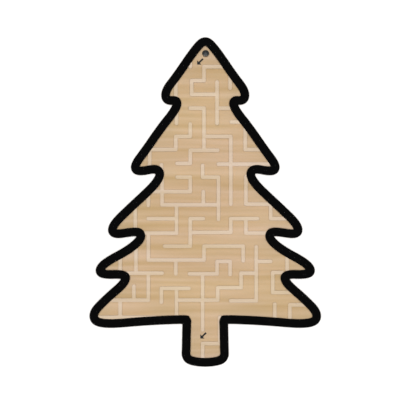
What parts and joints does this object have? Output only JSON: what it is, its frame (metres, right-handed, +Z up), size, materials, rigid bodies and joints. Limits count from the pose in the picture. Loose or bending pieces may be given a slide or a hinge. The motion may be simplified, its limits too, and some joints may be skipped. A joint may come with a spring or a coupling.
{
  "type": "tilt maze game",
  "caption": "Hand-held tilt maze in a fir-tree outline: a steel ball rolls between wooden walls under a clear cover held by a black frame.",
  "frame": {"origin": "on the underside of the back panel, in the middle of the object's box", "axes": "+Z up, away from the back and towards the player; +Y towards the treetop; +X to the player's right"},
  "size_m": [0.1854, 0.2636, 0.0175],
  "materials": {
    "plywood": "plain sanded plywood, light brown with a visible ply edge",
    "floor_wood": "matt tan wood veneer with fine horizontal grain",
    "wall_wood": "matt pale wood strip with fine horizontal grain",
    "black_inlay": "matt black inlay",
    "clear_plastic": "clear polished acrylic sheet",
    "black_lacquer": "deep black satin lacquer",
    "screw_steel": "black zinc-plated steel",
    "ball_steel": "polished bearing steel"
  },
  "bodies": {
    "case": {"back_panel": "plywood", "maze_floor": "floor_wood", "maze_wall_01": "wall_wood", "maze_wall_02": "wall_wood", "maze_wall_03": "wall_wood", "maze_wall_04": "wall_wood", "maze_wall_05": "wall_wood", "maze_wall_06": "wall_wood", "maze_wall_07": "wall_wood", "maze_wall_08": "wall_wood", "maze_wall_09": "wall_wood", "maze_wall_10": "wall_wood", "maze_wall_11": "wall_wood", "maze_wall_12": "wall_wood", "maze_wall_13": "wall_wood", "maze_wall_14": "wall_wood", "maze_wall_15": "wall_wood", "maze_wall_16": "wall_wood", "maze_wall_17": "wall_wood", "maze_wall_18": "wall_wood", "maze_wall_19": "wall_wood", "maze_wall_20": "wall_wood", "maze_wall_21": "wall_wood", "maze_wall_22": "wall_wood", "maze_wall_23": "wall_wood", "start_arrow": "black_inlay", "finish_arrow": "black_inlay", "clear_cover": "clear_plastic", "front_frame": "black_lacquer", "case_screw_01": "screw_steel", "case_screw_02": "screw_steel", "case_screw_03": "screw_steel", "case_screw_04": "screw_steel", "case_screw_05": "screw_steel", "case_screw_06": "screw_steel", "case_screw_07": "screw_steel", "case_screw_08": "screw_steel", "case_screw_09": "screw_steel", "case_screw_10": "screw_steel", "case_screw_11": "screw_steel", "case_screw_12": "screw_steel"},
    "ball": {"steel_ball": "ball_steel"}
  },
  "joints": [
    {"name": "ball_roll", "type": "slide", "parent": "case", "child": "ball", "axis": [-0.542, -0.8404, 0], "range_m": [0, 0.02]}
  ]
}
